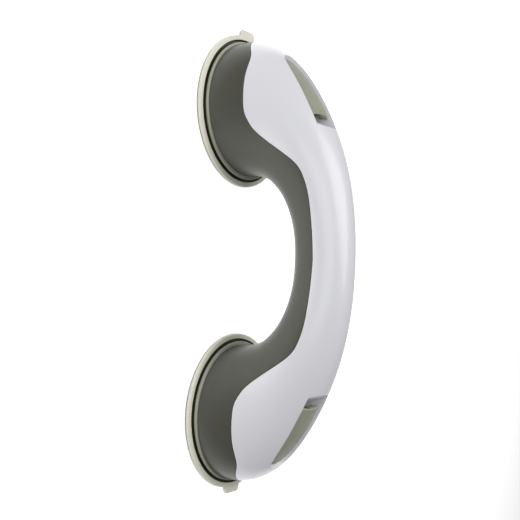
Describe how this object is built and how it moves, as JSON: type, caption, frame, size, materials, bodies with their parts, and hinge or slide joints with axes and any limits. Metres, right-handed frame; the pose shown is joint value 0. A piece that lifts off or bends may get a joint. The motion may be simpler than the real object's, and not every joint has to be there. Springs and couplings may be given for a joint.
{
  "type": "suction grab bar",
  "caption": "Grab bar with an arched hand grip between two suction cup heads, each locked by a flip lever in its sloping shoulder.",
  "frame": {"origin": "on the mounting plane, midway between the two suction cups", "axes": "+X along the bar, +Z away from the mounting surface, +Y across the bar"},
  "size_m": [0.302, 0.099, 0.0852],
  "materials": {
    "cover": "gloss",
    "body": "satin",
    "plate": "satin",
    "rubber": "matt",
    "insert": "matt",
    "steel": "plated",
    "spring": "plated",
    "washer": "matt",
    "lever": "fine texture"
  },
  "bodies": {
    "housing": {"top_cover": "cover", "lower_body": "body", "base_plate_left": "plate", "suction_disc_left": "rubber", "wear_washer_left": "washer", "base_screws_left": "steel", "base_plate_right": "plate", "suction_disc_right": "rubber", "wear_washer_right": "washer", "base_screws_right": "steel"},
    "stud_left": {"disc_insert_left": "insert", "pull_stud_left": "steel", "return_spring_left": "spring"},
    "lever_left_swing": {"lever_left": "lever", "lever_pin_left": "steel"},
    "stud_right": {"disc_insert_right": "insert", "pull_stud_right": "steel", "return_spring_right": "spring"},
    "lever_right_swing": {"lever_right": "lever", "lever_pin_right": "steel"}
  },
  "joints": [
    {"name": "stud_slide_left", "type": "slide", "parent": "housing", "child": "stud_left", "axis": [0, 0, 1], "range_m": [-0.00249, 0], "deforming": ["suction_disc_left", "return_spring_left"]},
    {"name": "lever_hinge_left", "type": "hinge", "parent": "stud_left", "child": "lever_left_swing", "pos_m": [-0.0975, 0, 0.0515], "axis": [0, 1, 0], "range_deg": [0, 80]},
    {"name": "stud_slide_right", "type": "slide", "parent": "housing", "child": "stud_right", "axis": [0, 0, 1], "range_m": [-0.00249, 0], "deforming": ["suction_disc_right", "return_spring_right"]},
    {"name": "lever_hinge_right", "type": "hinge", "parent": "stud_right", "child": "lever_right_swing", "pos_m": [0.0975, 0, 0.0515], "axis": [0, -1, 0], "range_deg": [0, 80]}
  ],
  "couplings": [
    {"joint": "lever_hinge_left", "follows": "stud_slide_left", "rad_per_m": -558.6},
    {"joint": "lever_hinge_right", "follows": "stud_slide_right", "rad_per_m": -558.6}
  ]
}
